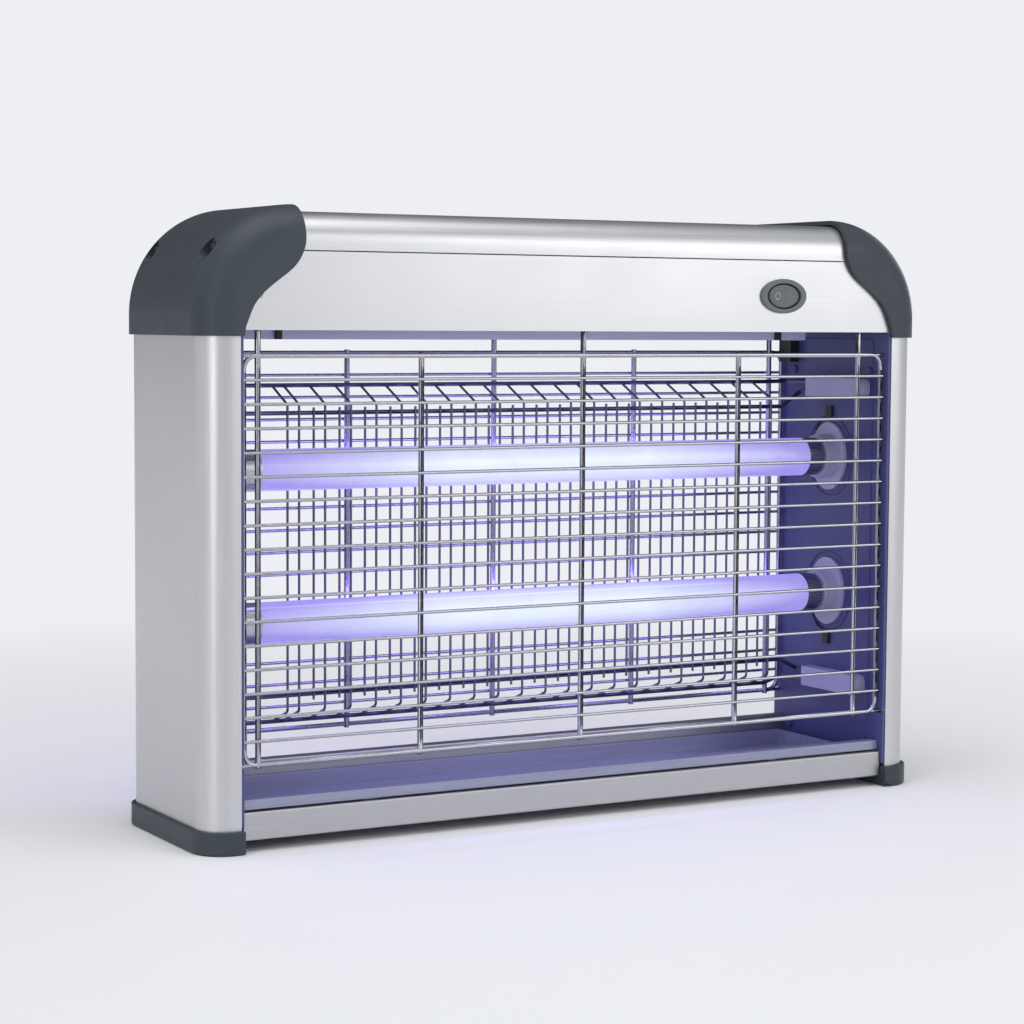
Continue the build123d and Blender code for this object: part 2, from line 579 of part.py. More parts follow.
def carrier(y, z, leg_z):
    """Carrier rod of the grid, bent forwards at both ends into the insulator blocks."""
    half = [(CARRIER_TURN_X, y, z), (LEG_X, y, leg_z), (LEG_X, LEG_END_Y, leg_z)]
    points = [(-a, b, c) for a, b, c in reversed(half)] + half
    return rod_along(points, CARRIER_R, 2.0)


with BuildPart() as grid_long:
    with BuildSketch(Plane.XY.offset(GRID_BEND_LOW_Z + GRID_BEND_L)):
        with Locations(*[(x, GRID_Y) for x in GRID_XS]):
            Circle(GRID_WIRE_R)
    extrude(amount=GRID_BEND_HIGH_Z - GRID_BEND_LOW_Z - 2 * GRID_BEND_L)
save(grid_long.part, "grid_long_wires")

# Bent ends of the long wires, joined by their carriers at the top and at the bottom
with BuildPart() as grid_ends:
    for bend_z, end_z, inward, leg_z in (
            (GRID_BEND_LOW_Z, GRID_LOW_Z, GRID_BEND_L, BLOCK_LOW_MID_Z - LEG_DZ),
            (GRID_BEND_HIGH_Z, GRID_HIGH_Z, -GRID_BEND_L, BLOCK_HIGH_MID_Z + LEG_DZ)):
        bent_end = rod_along([(0, GRID_REAR_Y, end_z), (0, GRID_Y, bend_z), (0, GRID_Y, bend_z + inward)],
                             GRID_WIRE_R, 3.0)
        add(carrier(GRID_REAR_Y, end_z, leg_z))
        for x in GRID_XS:
            with Locations((x, 0, 0)):
                add(bent_end)
save(grid_ends.part, "grid_wire_ends")
with BuildPart() as grid_short:
    add(carrier(SHORT_RAIL_Y, SHORT_RAIL_LOW_Z, BLOCK_LOW_MID_Z + LEG_DZ))
    add(carrier(SHORT_RAIL_Y, SHORT_RAIL_HIGH_Z, BLOCK_HIGH_MID_Z - LEG_DZ))
    with BuildSketch(Plane.XY.offset(SHORT_LOW_Z)):
        with Locations(*[(GRID_FIRST_X + SHORT_SHIFT_X + GRID_PITCH * i, SHORT_Y)
                         for i in range(GRID_COUNT - 1)]):
            Circle(GRID_WIRE_R)
    extrude(amount=SHORT_HIGH_Z - SHORT_LOW_Z)
save(grid_short.part, "grid_short_wires")

# Insulator blocks on the liners
for name, base_z, legs in (("upper", BLOCK_UPPER_Z, BLOCK_HIGH_MID_Z),
                           ("lower", BLOCK_LOWER_Z, BLOCK_LOW_MID_Z)):
    with BuildPart() as block:
        with Locations((LINER_X - 0.05, BLOCK_REAR_Y, base_z)):
            Box(BLOCK_W, BLOCK_REAR_Y - BLOCK_FRONT_Y, BLOCK_H, align=(Align.MAX, Align.MAX, Align.MIN))
        fillet(block.edges().filter_by(Axis.X).group_by(Axis.Y)[0], 5.5)
        with Locations(*[Location((LEG_X, BLOCK_REAR_Y, legs + dz), (90, 0, 0)) for dz in (-LEG_DZ, LEG_DZ)]):
            Cylinder(CARRIER_R + RUN, 16, mode=Mode.SUBTRACT)
    save(block.part, f"{name}_right_insulator")
    save(block.part.mirror(Plane.YZ), f"{name}_left_insulator")

# Rocker switch
with BuildPart() as bezel:
    with BuildSketch(XZ.offset(PANEL_FACE_Y + 0.02)):
        with Locations((SWITCH_X, SWITCH_Z)):
            Ellipse(BEZEL_W / 2, BEZEL_H / 2)
    extrude(amount=BEZEL_PROUD)
    fillet(bezel.faces().sort_by(Axis.Y)[0].edges(), 0.8)
    with BuildSketch(XZ.offset(PANEL_FACE_Y + 0.1)):
        with Locations((SWITCH_X, SWITCH_Z)):
            Ellipse(SWITCH_BODY_W / 2, SWITCH_BODY_H / 2)
    extrude(amount=-(PANEL_FACE_Y + 0.1 + SWITCH_BACK_Y))
    with BuildSketch(XZ.offset(PANEL_FACE_Y + 4)):
        with Locations((SWITCH_X, SWITCH_Z)):
            Ellipse(ROCKER_W / 2 + 0.9, ROCKER_H / 2 + 0.7)
    extrude(amount=-14, mode=Mode.SUBTRACT)
    with Locations((SWITCH_X, ROCKER_PIVOT_Y, SWITCH_Z)):
        Cylinder(TRUNNION_R + RUN, ROCKER_H + 4, mode=Mode.SUBTRACT)
save(bezel.part, "switch_bezel")
with BuildPart() as rocker:
    with BuildSketch(XZ.offset(-ROCKER_FRONT_Y)):
        with Locations((SWITCH_X, SWITCH_Z)):
            Ellipse(ROCKER_W / 2, ROCKER_H / 2)
    extrude(amount=ROCKER_FRONT_Y - ROCKER_BACK_Y)
    with Locations((SWITCH_X, ROCKER_PIVOT_Y, SWITCH_Z)):
        Cylinder(TRUNNION_R, ROCKER_H + 3)
pivot = Axis((SWITCH_X, ROCKER_PIVOT_Y, SWITCH_Z), (0, 0, 1))
save(rocker.part.rotate(pivot, ROCKER_TILT), "switch_rocker")

# Gear channel under the head: carries ballasts, starters and the high-voltage board
with BuildPart() as gear_channel:
    depth = CHANNEL_REAR_Y - CHANNEL_FRONT_Y
    middle = (CHANNEL_REAR_Y + CHANNEL_FRONT_Y) / 2
    with Locations((0, middle, CHANNEL_BOTTOM_Z)):
        Box(2 * CHANNEL_HALF_X, depth, CHANNEL_WALL_Z - CHANNEL_BOTTOM_Z,
            align=(Align.CENTER, Align.CENTER, Align.MIN))
    with Locations((0, middle, CHANNEL_BOTTOM_Z + CHANNEL_T)):
        Box(2 * CHANNEL_HALF_X - 2 * CHANNEL_T, depth - 2 * CHANNEL_T, 40,
            align=(Align.CENTER, Align.CENTER, Align.MIN), mode=Mode.SUBTRACT)
    for s in (-1, 1):
        with Locations((s * (CHANNEL_HALF_X + 11.5), TAB_SCREW_Y, TAB_Z + CHANNEL_T / 2)):
            Box(24, 26, CHANNEL_T)
        with Locations((s * TAB_SCREW_X, TAB_SCREW_Y, TAB_Z)):
            Cylinder(M3_HOLE / 2, 6, mode=Mode.SUBTRACT)
save(gear_channel.part, "gear_channel")

GEAR_Z = CHANNEL_BOTTOM_Z + CHANNEL_T + 0.1


def on_channel(x, length, width, height, edge=1.0):
    """A block with softened edges standing on the channel floor."""
    with BuildPart() as item:
        with Locations((x, 20, GEAR_Z)):
            Box(length, width, height, align=(Align.CENTER, Align.CENTER, Align.MIN))
        fillet(item.edges().filter_by(Axis.Z), edge)
    return item.part


save(on_channel(-130, 92, 36, 28, 2.0), "upper_lamp_ballast")
save(on_channel(-30, 92, 36, 28, 2.0), "lower_lamp_ballast")
save(on_channel(-193, 18, 34, 16, 1.0), "terminal_block")
BOARD_X = 75.0
with BuildPart() as board:
    with Locations((BOARD_X, 20, GEAR_Z + 5)):
        Box(90, 36, 1.6, align=(Align.CENTER, Align.CENTER, Align.MIN))
    with Locations(*[(BOARD_X + a, 20 + b, GEAR_Z) for a in (-41, 41) for b in (-14, 14)]):
        Cylinder(2.5, 5.2, align=(Align.CENTER, Align.CENTER, Align.MIN))
save(board.part, "high_voltage_board")
with BuildPart() as transformer:
    with Locations((BOARD_X - 22, 20, GEAR_Z + 6.7)):
        Box(30, 28, 24, align=(Align.CENTER, Align.CENTER, Align.MIN))
    fillet(transformer.edges().filter_by(Axis.Z), 1.5)
save(transformer.part, "step_up_transformer")
with BuildPart() as capacitors:
    with Locations(*[(BOARD_X + 8 + 13 * i, 20, GEAR_Z + 6.7) for i in range(3)]):
        Cylinder(5.5, 20, align=(Align.CENTER, Align.CENTER, Align.MIN))
save(capacitors.part, "multiplier_capacitors")
STARTERS = (("upper", 148.0), ("lower", 180.0))
with BuildPart() as sockets:
    for name, x in STARTERS:
        with Locations((x, 20, GEAR_Z)):
            Box(27, 27, 9, align=(Align.CENTER, Align.CENTER, Align.MIN))
        with Locations((x, 20, GEAR_Z + 3)):
            Cylinder(10.9, 20, align=(Align.CENTER, Align.CENTER, Align.MIN), mode=Mode.SUBTRACT)
save(sockets.part, "starter_sockets")
for name, x in STARTERS:
    with BuildPart() as starter:
        with Locations((x, 20, GEAR_Z + 3.1)):
            Cylinder(10.75, 36, align=(Align.CENTER, Align.CENTER, Align.MIN))
        fillet(starter.faces().sort_by(Axis.Z)[-1].edges(), 2.0)
    save(starter.part, f"{name}_starter")

# Cable gland in the rear panel and its nut inside
with BuildPart() as gland:
    with Locations(Location((GLAND_X, PANEL_FACE_Y + 0.05, GLAND_Z), (-90, 0, 0))):
        Cylinder(10.5, 2.6, align=(Align.CENTER, Align.CENTER, Align.MIN))
    with Locations(Location((GLAND_X, PANEL_FACE_Y + 0.1, GLAND_Z), (90, 0, 0))):
        Cylinder(GLAND_THREAD_R, 12, align=(Align.CENTER, Align.CENTER, Align.MIN))
    with Locations(Location((GLAND_X, PANEL_FACE_Y, GLAND_Z), (90, 0, 0))):
        Cylinder(GLAND_BORE_R, 60, mode=Mode.SUBTRACT)
save(gland.part, "cable_gland")
with BuildPart() as gland_nut:
    with BuildSketch(XZ.offset(-(PANEL_FACE_Y - PANEL_T - 0.1))):
        with Locations((GLAND_X, GLAND_Z)):
            RegularPolygon(12, 6)
            Circle(GLAND_THREAD_R + RUN, mode=Mode.SUBTRACT)
    extrude(amount=4.5)
save(gland_nut.part, "gland_nut")

# Guard interlock switch beside the rear guard
with BuildPart() as interlock:
    with Locations((LINER_X - 0.05, 39, HEIGHT - 96)):
        Box(7.2, 14, 15, align=(Align.MAX, Align.MIN, Align.MIN))
    fillet(interlock.edges().filter_by(Axis.X), 0.8)
save(interlock.part, "interlock_switch")

# Lead clips on the liners, leads inside the posts, clips on the channel
with BuildPart() as lead_clips:
    with Locations(*[(s * (LINER_X - 1.3), 0, z) for s in (-1, 1) for z in (254.0, 95.5)]):
        Box(2.4, 6.4, 8)
save(lead_clips.part, "lead_clips")
with BuildPart() as leads:
    for s in (-1, 1):
        for y, z in ((-5, LAMP_UPPER_Z), (5, LAMP_LOWER_Z)):
            with Locations((s * (HOLDER_TAIL_X + 1.25), y, z - 5)):
                Cylinder(1.2, HEIGHT - 53 - z, align=(Align.CENTER, Align.CENTER, Align.MIN))
save(leads.part, "lamp_leads")
with BuildPart() as channel_clips:
    with Locations(*[(s * CLIP_X, CHANNEL_FRONT_Y - 1.6, CHANNEL_BOTTOM_Z) for s in (-1, 1)]):
        Box(4, 3, 7, align=(Align.CENTER, Align.CENTER, Align.MIN))
save(channel_clips.part, "channel_clips")


def screw(head_r, head_h, shank_r, shank_l):
    """Pan-head screw: its seat at the origin, the shank along +Z."""
    with BuildPart() as fastener:
        Cylinder(shank_r, shank_l, align=(Align.CENTER, Align.CENTER, Align.MIN))
        Cylinder(head_r, head_h, align=(Align.CENTER, Align.CENTER, Align.MAX))
        fillet(fastener.faces().sort_by(Axis.Z)[0].edges(), 0.4)
    return fastener.part


def screw_group(name, piece, places):
    """Identical screws as one group; each place is a point and a rotation."""
    with BuildPart() as group:
        with Locations(*[Location(point, turn) for point, turn in places]):
            add(piece)
    save(group.part, name)


SIDES = (-1, 1)
SEAT = 0.05
screw_group("cap_screws", screw(4.0, 2.6, M4 / 2, 12),
            [((s * (RECESS_FLOOR_X + SEAT), y, CAP_SCREW_Z), (0, -90 * s, 0))
             for s in SIDES for y in (-CAP_SCREW_Y, CAP_SCREW_Y)])
screw_group("foot_screws", screw(4.2, 2.3, M4 / 2, 16),
            [((s * PORT_X, y, 2.6 - SEAT), (0, 0, 0)) for s in SIDES for y in (-PORT_Y, PORT_Y)])
screw_group("liner_screws", screw(2.8, 1.8, M3 / 2, 5),
            [((s * (LINER_X - SEAT), y, z), (0, 90 * s, 0)) for s in SIDES for y, z in LINER_SCREWS])
screw_group("rail_screws", screw(3.2, 1.4, M4 / 2, 12),
            [((s * (LINER_X + LINER_T), y, RAIL_SCREW_Z), (0, -90 * s, 0))
             for s in SIDES for y in (-RAIL_SCREW_Y, RAIL_SCREW_Y)])
screw_group("panel_screws", screw(3.0, 0.9, M3 / 2, 5),
            [((s * PANEL_SCREW_X, y * (PANEL_FACE_Y - 1 + SEAT / 2), PANEL_SCREW_Z), (90 * y, 0, 0))
             for s in SIDES for y in SIDES])
screw_group("cover_screws", screw(2.8, 1.8, M3 / 2, 4),
            [((s * COVER_SCREW_X, y * COVER_SCREW_Y, SEAM_Z - 1.55 - SEAT), (0, 0, 0))
             for s in SIDES for y in SIDES])
screw_group("channel_screws", screw(2.8, 1.8, M3 / 2, 5),
            [((s * TAB_SCREW_X, TAB_SCREW_Y, TAB_Z + CHANNEL_T + SEAT), (180, 0, 0)) for s in SIDES])
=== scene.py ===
import bpy
import bmesh
import json
import math
from mathutils import Matrix, Vector


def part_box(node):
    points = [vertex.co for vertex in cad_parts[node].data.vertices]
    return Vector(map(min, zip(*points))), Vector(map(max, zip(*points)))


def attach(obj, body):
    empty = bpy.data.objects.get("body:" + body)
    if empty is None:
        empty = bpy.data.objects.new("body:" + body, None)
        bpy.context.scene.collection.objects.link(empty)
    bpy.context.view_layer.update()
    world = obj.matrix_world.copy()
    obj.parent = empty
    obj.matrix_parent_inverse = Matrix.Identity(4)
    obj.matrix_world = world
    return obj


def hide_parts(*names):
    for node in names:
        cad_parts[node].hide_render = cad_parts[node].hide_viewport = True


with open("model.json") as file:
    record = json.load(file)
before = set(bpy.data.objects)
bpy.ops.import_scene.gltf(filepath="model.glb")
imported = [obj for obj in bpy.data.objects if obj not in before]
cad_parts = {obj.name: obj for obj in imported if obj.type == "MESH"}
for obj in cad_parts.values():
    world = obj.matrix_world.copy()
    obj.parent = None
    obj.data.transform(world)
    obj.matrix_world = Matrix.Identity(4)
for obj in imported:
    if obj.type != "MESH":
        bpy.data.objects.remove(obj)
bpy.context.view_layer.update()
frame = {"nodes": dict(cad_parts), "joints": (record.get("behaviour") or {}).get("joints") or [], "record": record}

# Camera: where it stands in the frame, and how it is turned
CAMERA_AT = Vector((-0.8286, -1.4252, 0.3154))
CAMERA_YAW = math.radians(29.58)
CAMERA_PITCH = math.radians(4.31)
CAMERA_ROLL = math.radians(0.35)
CAMERA_LENS = 88.9

# Colours, linear
BACKDROP = (0.855, 0.865, 0.905)
ALUMINIUM = (0.60, 0.603, 0.61)
SLATE = (0.041, 0.051, 0.063)
LINER = (0.058, 0.066, 0.200)
LILAC = (0.40, 0.39, 0.58)
CHROME = (0.43, 0.43, 0.46)
# Rear guard: chrome with a violet tint that is painted glow of the tubes
REAR_CHROME_WITH_PAINTED_GLOW = (0.34, 0.33, 0.48)
# Grid: dark steel whose violet tint is painted glow of the tubes
GRID_STEEL_WITH_PAINTED_GLOW = (0.15, 0.145, 0.25)
TRAY = (0.29, 0.305, 0.42)
SWITCH_GREY = (0.115, 0.125, 0.132)
BLACK = (0.012, 0.012, 0.014)
ZINC = (0.55, 0.56, 0.58)
UV_CORE = (0.84, 0.94, 1.0)
UV_RIM = (0.40, 0.34, 0.95)
UV_GLOW = (0.36, 0.26, 1.0)
STARTER_WHITE = (0.75, 0.75, 0.74)
BALLAST_GREY = (0.72, 0.72, 0.73)
BOARD_GREEN = (0.02, 0.10, 0.035)
CAPACITOR_BLUE = (0.02, 0.05, 0.22)
RUBBER = (0.02, 0.02, 0.024)
ROTOR_GREY = (0.14, 0.14, 0.20)
LAMP_CAP = (0.50, 0.50, 0.54)
CHANNEL_LILAC = (0.60, 0.59, 0.88)
# Cap screws: near-black, painted shade of the cap recesses
RECESS_SHADE = (0.05, 0.05, 0.055)
MARK_WHITE = (0.85, 0.86, 0.87)
FLOOR_TONE = (0.93, 0.93, 0.935)
STUDIO_TONE = (0.93, 0.95, 1.0)

# Studio: a pale world that is dim straight away from the camera
STUDIO_STRENGTH = 0.66
DARK_SIDE = (0.49, 0.87, 0.0)
DARK_FROM, DARK_TO = 0.20, 0.78     # how far a ray turns towards the dark side
DARK_SHARE = 0.16
FLOOR_RADIUS = 30.0
FLOOR_FADE_FROM, FLOOR_FADE_TO = 0.36, 1.1     # distances over which the floor becomes the backdrop

# Softboxes: name, place, aim, width, height, watts
SOFTBOXES = (
    ("key", (1.25, -1.75, 0.85), (0.1, 0.0, 0.25), 1.1, 1.1, 7.2),
    ("left_strip", (-2.3, -1.35, 0.7), (-0.2, 0.0, 0.2), 0.40, 1.8, 7.6),
    ("rear_fill", (2.5, 1.2, 0.9), (0.1, 0.0, 0.2), 1.0, 1.0, 6.0),
    ("overhead", (-0.3, -0.5, 2.4), (0.0, 0.0, 0.0), 2.4, 1.8, 25),
)

# Violet light of the tubes inside the chamber
GLOW_DOWN_WATTS = 0.10
GLOW_BACK_WATTS = 0.24
GLOW_WIDTH = 0.01
GLOW_SPAN = 1.8          # length over half the tube's length
GLOW_LIFT = 0.55         # distance from the tube's axis over its diameter
GLOW_BACK_Y = 1.0
GLOW_DOWN_Y = 0.03


# ---------------------------------------------------------------- materials
class Nodes:
    """Short calls for building one material's node tree."""

    def __init__(self, name):
        self.material = bpy.data.materials.new(name)
        self.material.use_nodes = True
        self.tree = self.material.node_tree
        self.shader = self.tree.nodes["Principled BSDF"]

    def add(self, kind, **values):
        node = self.tree.nodes.new(kind)
        for key, value in values.items():
            setattr(node, key, value)
        return node

    def link(self, output, target):
        self.tree.links.new(output, target)

    def place(self, scale):
        """Object coordinates, stretched by scale."""
        coords = self.add("ShaderNodeTexCoord")
        mapping = self.add("ShaderNodeMapping")
        mapping.inputs["Scale"].default_value = scale
        self.link(coords.outputs["Object"], mapping.inputs["Vector"])
        return mapping.outputs["Vector"]

    def noise(self, vector, scale, detail=3.0, roughness=0.55):
        node = self.add("ShaderNodeTexNoise")
        node.inputs["Scale"].default_value = scale
        node.inputs["Detail"].default_value = detail
        node.inputs["Roughness"].default_value = roughness
        self.link(vector, node.inputs["Vector"])
        return node.outputs["Fac"]

    def spread(self, value, low, high, from_low=0.3, from_high=0.7):
        """Value carried from one range to another."""
        node = self.add("ShaderNodeMapRange")
        node.inputs["From Min"].default_value = from_low
        node.inputs["From Max"].default_value = from_high
        node.inputs["To Min"].default_value = low
        node.inputs["To Max"].default_value = high
        self.link(value, node.inputs["Value"])
        return node.outputs["Result"]

    def shade(self, value, dark, light):
        """Colour between dark and light by value."""
        node = self.add("ShaderNodeMix", data_type="RGBA")
        node.inputs["A"].default_value = (*dark, 1)
        node.inputs["B"].default_value = (*light, 1)
        self.link(value, node.inputs["Factor"])
        return node.outputs["Result"]

    def bump(self, height, strength, distance):
        node = self.add("ShaderNodeBump")
        node.inputs["Strength"].default_value = strength
        node.inputs["Distance"].default_value = distance
        self.link(height, node.inputs["Height"])
        self.link(node.outputs["Normal"], self.shader.inputs["Normal"])


def scaled(colour, factor):
    return tuple(channel * factor for channel in colour)


def brushed(name, colour, along, roughness=0.36, contrast=0.055):
    """Satin metal with fine lines along an axis and a faint broad mottle."""
    n = Nodes(name)
    fine = [1400.0, 1400.0, 1400.0]
    fine["XYZ".index(along)] = 9.0
    lines = n.noise(n.place(fine), 1.0, 4.0, 0.7)
    soft = n.noise(n.place((1, 1, 1)), 14.0, 3.0)
    n.link(n.shade(n.spread(lines, 0, 1), scaled(colour, 1 - contrast), scaled(colour, 1 + contrast)),
           n.shader.inputs["Base Color"])
    rough = n.add("ShaderNodeMath", operation="ADD")
    n.link(n.spread(lines, roughness - 0.06, roughness + 0.07), rough.inputs[0])
    n.link(n.spread(soft, -0.02, 0.02), rough.inputs[1])
    n.link(rough.outputs[0], n.shader.inputs["Roughness"])
    n.shader.inputs["Metallic"].default_value = 1.0
    n.bump(lines, 0.10, 0.00005)
    return n.material


def moulded(name, colour, roughness=0.45, grain=0.12, variation=0.12, specular=0.5):
    """Moulded plastic: fine spark-erosion grain, faint flow shading and rubbed spots."""
    n = Nodes(name)
    grain_height = n.noise(n.place((1, 1, 1)), 2600.0, 2.0)
    flow = n.noise(n.place((1, 1, 1)), 9.0, 4.0)
    wear = n.noise(n.place((1, 1, 1)), 70.0, 6.0, 0.7)
    n.link(n.shade(n.spread(flow, 0, 1), scaled(colour, 1 - variation), scaled(colour, 1 + variation)),
           n.shader.inputs["Base Color"])
    n.link(n.spread(wear, roughness - 0.05, roughness + 0.07), n.shader.inputs["Roughness"])
    n.shader.inputs["Specular IOR Level"].default_value = specular
    n.bump(grain_height, grain, 0.00012)
    return n.material


def painted(name, colour, roughness=0.38, metal=0.0):
    """Coated sheet metal with orange peel and light scuffs."""
    n = Nodes(name)
    peel = n.noise(n.place((1, 1, 1)), 420.0, 2.0)
    scuffs = n.noise(n.place((14, 220, 220)), 1.0, 5.0, 0.65)
    n.link(n.shade(n.spread(scuffs, 0, 1), scaled(colour, 0.90), scaled(colour, 1.10)),
           n.shader.inputs["Base Color"])
    n.link(n.spread(scuffs, roughness - 0.06, roughness + 0.08), n.shader.inputs["Roughness"])
    n.shader.inputs["Metallic"].default_value = metal
    n.bump(peel, 0.12, 0.00006)
    return n.material


def plated(name, colour, roughness=0.17):
    """Bright plated wire: drawn lines, tiny dull spots."""
    n = Nodes(name)
    drawn = n.noise(n.place((60, 60, 60)), 12.0, 4.0)
    spots = n.noise(n.place((1, 1, 1)), 900.0, 2.0)
    n.link(n.shade(n.spread(drawn, 0, 1), scaled(colour, 0.88), scaled(colour, 1.08)),
           n.shader.inputs["Base Color"])
    n.link(n.spread(spots, roughness - 0.04, roughness + 0.08), n.shader.inputs["Roughness"])
    n.shader.inputs["Metallic"].default_value = 1.0
    n.bump(drawn, 0.04, 0.00005)
    return n.material


TUBE_WHITE_SHARE = 0.35     # of the half length, from the middle, before the violet starts
TUBE_RIM_BLEND = 0.42
TUBE_END_TINT = 0.80
TUBE_CORE_GLOW = 0.96
TUBE_RIM_GLOW = 0.80


def glowing_tube(name, middle_x, half_length):
    """Lit phosphor tube: whitest along the middle, violet towards the rim and the two ends."""
    n = Nodes(name)
    coords = n.add("ShaderNodeTexCoord")
    split = n.add("ShaderNodeSeparateXYZ")
    n.link(coords.outputs["Object"], split.inputs["Vector"])
    centred = n.add("ShaderNodeMath", operation="SUBTRACT")
    centred.inputs[1].default_value = middle_x
    n.link(split.outputs["X"], centred.inputs[0])
    distance = n.add("ShaderNodeMath", operation="ABSOLUTE")
    n.link(centred.outputs[0], distance.inputs[0])
    ends = n.spread(distance.outputs[0], 0.0, 1.0, half_length * TUBE_WHITE_SHARE, half_length)
    facing = n.add("ShaderNodeLayerWeight")
    facing.inputs["Blend"].default_value = TUBE_RIM_BLEND
    cloud = n.noise(n.place((1, 1, 1)), 60.0, 3.0)
    tint = n.add("ShaderNodeMath", operation="ADD")
    tint.use_clamp = True
    ends_share = n.add("ShaderNodeMath", operation="MULTIPLY")
    ends_share.inputs[1].default_value = TUBE_END_TINT
    n.link(ends, ends_share.inputs[0])
    n.link(facing.outputs["Facing"], tint.inputs[0])
    n.link(ends_share.outputs[0], tint.inputs[1])
    n.link(n.shade(tint.outputs[0], UV_CORE, UV_RIM), n.shader.inputs["Emission Color"])
    glow = n.add("ShaderNodeMath", operation="SUBTRACT")
    n.link(n.spread(tint.outputs[0], TUBE_CORE_GLOW, TUBE_RIM_GLOW, 0.0, 1.0), glow.inputs[0])
    n.link(n.spread(cloud, -0.03, 0.03), glow.inputs[1])
    n.link(glow.outputs[0], n.shader.inputs["Emission Strength"])
    n.shader.inputs["Base Color"].default_value = (0.08, 0.08, 0.12, 1)
    n.shader.inputs["Roughness"].default_value = 0.16
    return n.material


lamp_low, lamp_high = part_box("upper_lamp_tube")
lamp_middle_x = (lamp_low.x + lamp_high.x) / 2
lamp_half = (lamp_high.x - lamp_low.x) / 2

MATERIALS = {
    "brushed_aluminium": brushed("aluminium_along_x", ALUMINIUM, "X"),
    "slate_plastic": moulded("slate_plastic", SLATE, 0.42, 0.16, specular=0.30),
    "liner_plastic": moulded("liner_plastic", LINER, 0.40, 0.08),
    "guard_chrome": plated("guard_chrome", CHROME),
    "grid_steel": plated("grid_steel", GRID_STEEL_WITH_PAINTED_GLOW, 0.30),
    "lamp_glass": glowing_tube("lamp_glow", lamp_middle_x, lamp_half),
    "lamp_cap_metal": brushed("lamp_cap_metal", LAMP_CAP, "X", 0.24),
    "holder_plastic": moulded("holder_plastic", LILAC, 0.30, 0.05),
    "rotor_plastic": moulded("rotor_plastic", ROTOR_GREY, 0.28, 0.05),
    "insulator_plastic": moulded("insulator_plastic", LILAC, 0.34, 0.05),
    "tray_paint": painted("tray_paint", TRAY, 0.34, 0.35),
    "channel_paint": painted("channel_paint", CHANNEL_LILAC, 0.36),
    "switch_plastic": moulded("switch_plastic", SWITCH_GREY, 0.36, 0.07),
    "black_plastic": moulded("black_plastic", BLACK, 0.42, 0.10),
    "zinc_steel": brushed("zinc_steel", ZINC, "Z", 0.34, 0.16),
    "ballast_paint": painted("ballast_paint", BALLAST_GREY, 0.30),
    "starter_plastic": moulded("starter_plastic", STARTER_WHITE, 0.35, 0.05),
    "board_laminate": moulded("board_laminate", BOARD_GREEN, 0.30, 0.06),
    "capacitor_film": moulded("capacitor_film", CAPACITOR_BLUE, 0.18, 0.04),
    "lead_rubber": moulded("lead_rubber", RUBBER, 0.55, 0.08),
}
upright_aluminium = brushed("aluminium_along_z", ALUMINIUM, "Z")
# Rails: the same aluminium at 0.78 of its tone, painted shade on the low rails
rail_aluminium_painted_shade = brushed("rail_aluminium_painted_shade", scaled(ALUMINIUM, 0.78), "X", 0.40)
# Rear guard material: a violet copy of the chrome, the tubes' light painted into its colour
rear_chrome_painted_glow = plated("rear_guard_chrome_painted_glow", REAR_CHROME_WITH_PAINTED_GLOW, 0.22)
# Screws in the cap recesses: darkened as painted shade of the recess
recess_shade_steel = brushed("painted_recess_shade_steel", RECESS_SHADE, "Z", 0.4)
marking = moulded("switch_marking", MARK_WHITE, 0.4, 0.03)
OWN_MATERIAL = {
    "left_side_post": upright_aluminium,
    "right_side_post": upright_aluminium,
    "front_rail": rail_aluminium_painted_shade,
    "rear_rail": rail_aluminium_painted_shade,
    "rear_guard": rear_chrome_painted_glow,
    "cap_screws": recess_shade_steel,
    "liner_screws": MATERIALS["liner_plastic"],
    "panel_screws": MATERIALS["brushed_aluminium"],
}
EDGE_WIDTH = {
    "lampholder": 0.0008, "insulator": 0.0007, "foot": 0.0006, "corner_cap": 0.0005,
    "bezel": 0.0005, "rail": 0.0003,
}
PLAIN_EDGE_WIDTH = 0.00025
UNBEVELLED = ("_guard", "_wires", "_ends", "_leads", "_tube")     # round pieces

slots = {entry["node"]: entry["material_slot"] for entry in frame["record"]["subparts"]}


def finish_node(name, piece):
    """Material, softened edges and smooth shading for a CAD node."""
    piece.data.materials.clear()
    piece.data.materials.append(OWN_MATERIAL.get(name, MATERIALS[slots[name]]))
    weld = piece.modifiers.new("weld", "WELD")
    weld.merge_threshold = 0.00001
    if not name.endswith(UNBEVELLED):
        bevel = piece.modifiers.new("bevel", "BEVEL")
        bevel.width = next((width for word, width in EDGE_WIDTH.items() if word in name), PLAIN_EDGE_WIDTH)
        bevel.segments = 2
        bevel.limit_method = "ANGLE"
        bevel.angle_limit = math.radians(40)
        bevel.use_clamp_overlap = True
    weighted = piece.modifiers.new("weighted", "WEIGHTED_NORMAL")
    weighted.keep_sharp = False
    weighted.weight = 60


for node_name, node in frame["nodes"].items():
    finish_node(node_name, node)


# ---------------------------------------------------------------- added pieces
def mesh_piece(name, bm, material, body):
    """Smooth-shaded object from a finished bmesh."""
    bmesh.ops.recalc_face_normals(bm, faces=bm.faces)
    mesh = bpy.data.meshes.new(name)
    bm.to_mesh(mesh)
    bm.free()
    piece = bpy.data.objects.new(name, mesh)
    bpy.context.scene.collection.objects.link(piece)
    mesh.materials.append(material)
    for face in mesh.polygons:
        face.use_smooth = True
    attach(piece, body)
    return piece


